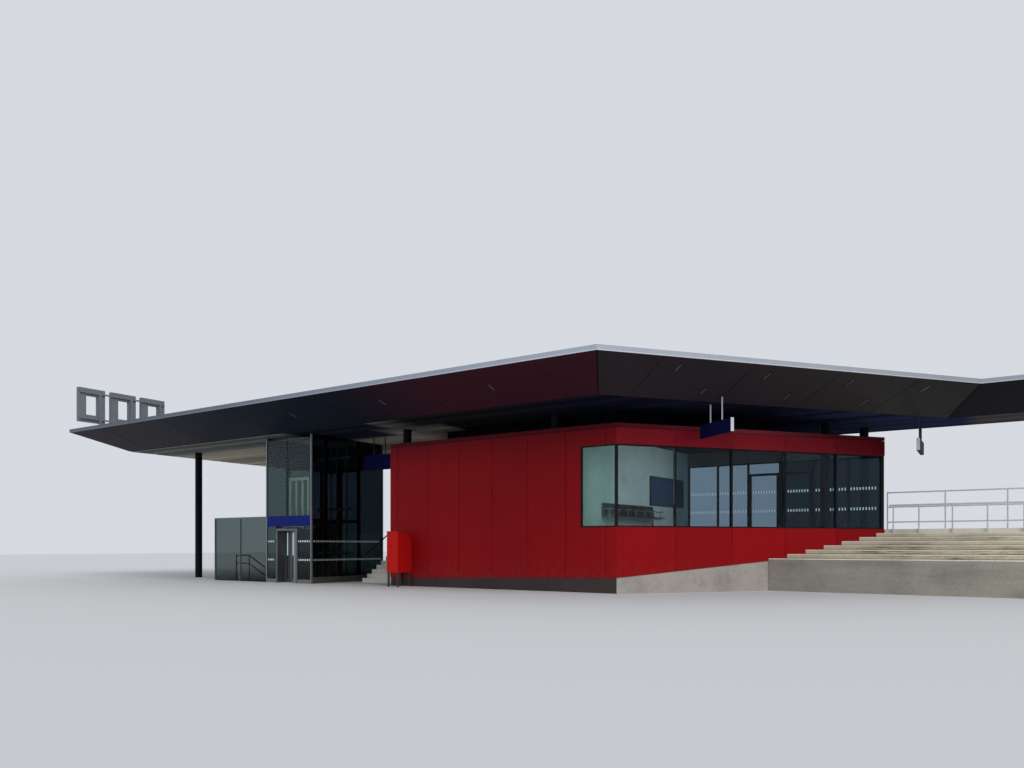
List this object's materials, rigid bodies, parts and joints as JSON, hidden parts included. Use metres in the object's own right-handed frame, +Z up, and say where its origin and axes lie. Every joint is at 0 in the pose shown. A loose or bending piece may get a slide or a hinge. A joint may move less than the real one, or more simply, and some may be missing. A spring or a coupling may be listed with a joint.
{
  "type": "railway station building",
  "caption": "Railway station building: a wide flat roof with dark sloping eaves on round columns, over a red waiting room, steps to a platform and a glass lift tower with sliding doors.",
  "frame": {"origin": "centre of the building's bounding box, at the lowest ground level", "axes": "+X along the front to the right as seen from the street, +Y in towards the tracks, +Z up"},
  "size_m": [39.1, 16.9, 8.75],
  "materials": {
    "roof_membrane": "matt",
    "fascia_metal": "satin",
    "dark_soffit": "satin",
    "ceiling_slats": "matt",
    "roof_steel": "matt",
    "dark_column": "satin",
    "concrete": "matt concrete",
    "step_concrete": "matt concrete",
    "pale_plaster": "matt plaster",
    "grey_render": "matt render",
    "red_panel": "satin",
    "dark_frame": "satin",
    "clear_glass": "clear",
    "green_glass": "frosted",
    "stainless": "brushed",
    "blue_paint": "semi-gloss",
    "leaf_steel": "brushed",
    "rail_steel": "satin",
    "slit_glass": "dark",
    "sign_grey": "matt",
    "cabinet_red": "semi-gloss"
  },
  "bodies": {
    "building": {"roof_deck": "roof_membrane", "fascia": "fascia_metal", "soffit_front": "dark_soffit", "soffit_oblique": "dark_soffit", "soffit_wing": "dark_soffit", "soffit_right_end": "dark_soffit", "soffit_rear": "dark_soffit", "soffit_left_end": "dark_soffit", "slat_ceiling": "ceiling_slats", "roof_frame": "roof_steel", "front_columns": "dark_column", "rear_columns": "dark_column", "front_wall": "concrete", "oblique_base": "concrete", "platform_base": "concrete", "rear_wall": "concrete", "inner_wall": "pale_plaster", "coping": "red_panel", "bench": "dark_frame", "cabinet_legs": "rail_steel", "lintels": "concrete", "side_wall": "concrete", "room_floor": "concrete", "room_roof": "roof_membrane", "roof_core": "dark_frame", "plinth": "grey_render", "front_panels": "red_panel", "oblique_panels": "red_panel", "side_panels": "red_panel", "rear_panels": "red_panel", "front_frame": "dark_frame", "oblique_frame": "dark_frame", "window_panes": "clear_glass", "platform_frames": "dark_frame", "platform_panes": "clear_glass", "platform_deck": "concrete", "platform_walls": "concrete", "wide_stair": "step_concrete", "step_railing": "stainless", "platform_railing": "stainless", "hall_stair": "step_concrete", "hall_railing": "stainless", "tower_posts": "stainless", "tower_base": "grey_render", "tower_panes": "clear_glass", "blue_band": "blue_paint", "lift_portal": "leaf_steel", "door_rail": "rail_steel", "shaft_frame": "dark_frame", "screen_frame": "stainless", "screen_panes": "green_glass", "underpass_handrails": "dark_frame", "hanging_signs": "blue_paint", "sign_rods": "stainless", "rooftop_sign": "sign_grey", "wall_cabinet": "cabinet_red"},
    "left_door": {"left_leaf": "leaf_steel", "left_leaf_panes": "slit_glass"},
    "right_door": {"right_leaf": "leaf_steel", "right_leaf_panes": "slit_glass"}
  },
  "joints": [
    {"name": "left_door_slide", "type": "slide", "parent": "building", "child": "left_door", "axis": [-1, 0, 0], "range_m": [0, 0.555]},
    {"name": "right_door_slide", "type": "slide", "parent": "building", "child": "right_door", "axis": [1, 0, 0], "range_m": [0, 0.555]}
  ],
  "couplings": [
    {"joint": "right_door_slide", "follows": "left_door_slide", "ratio": 1}
  ]
}
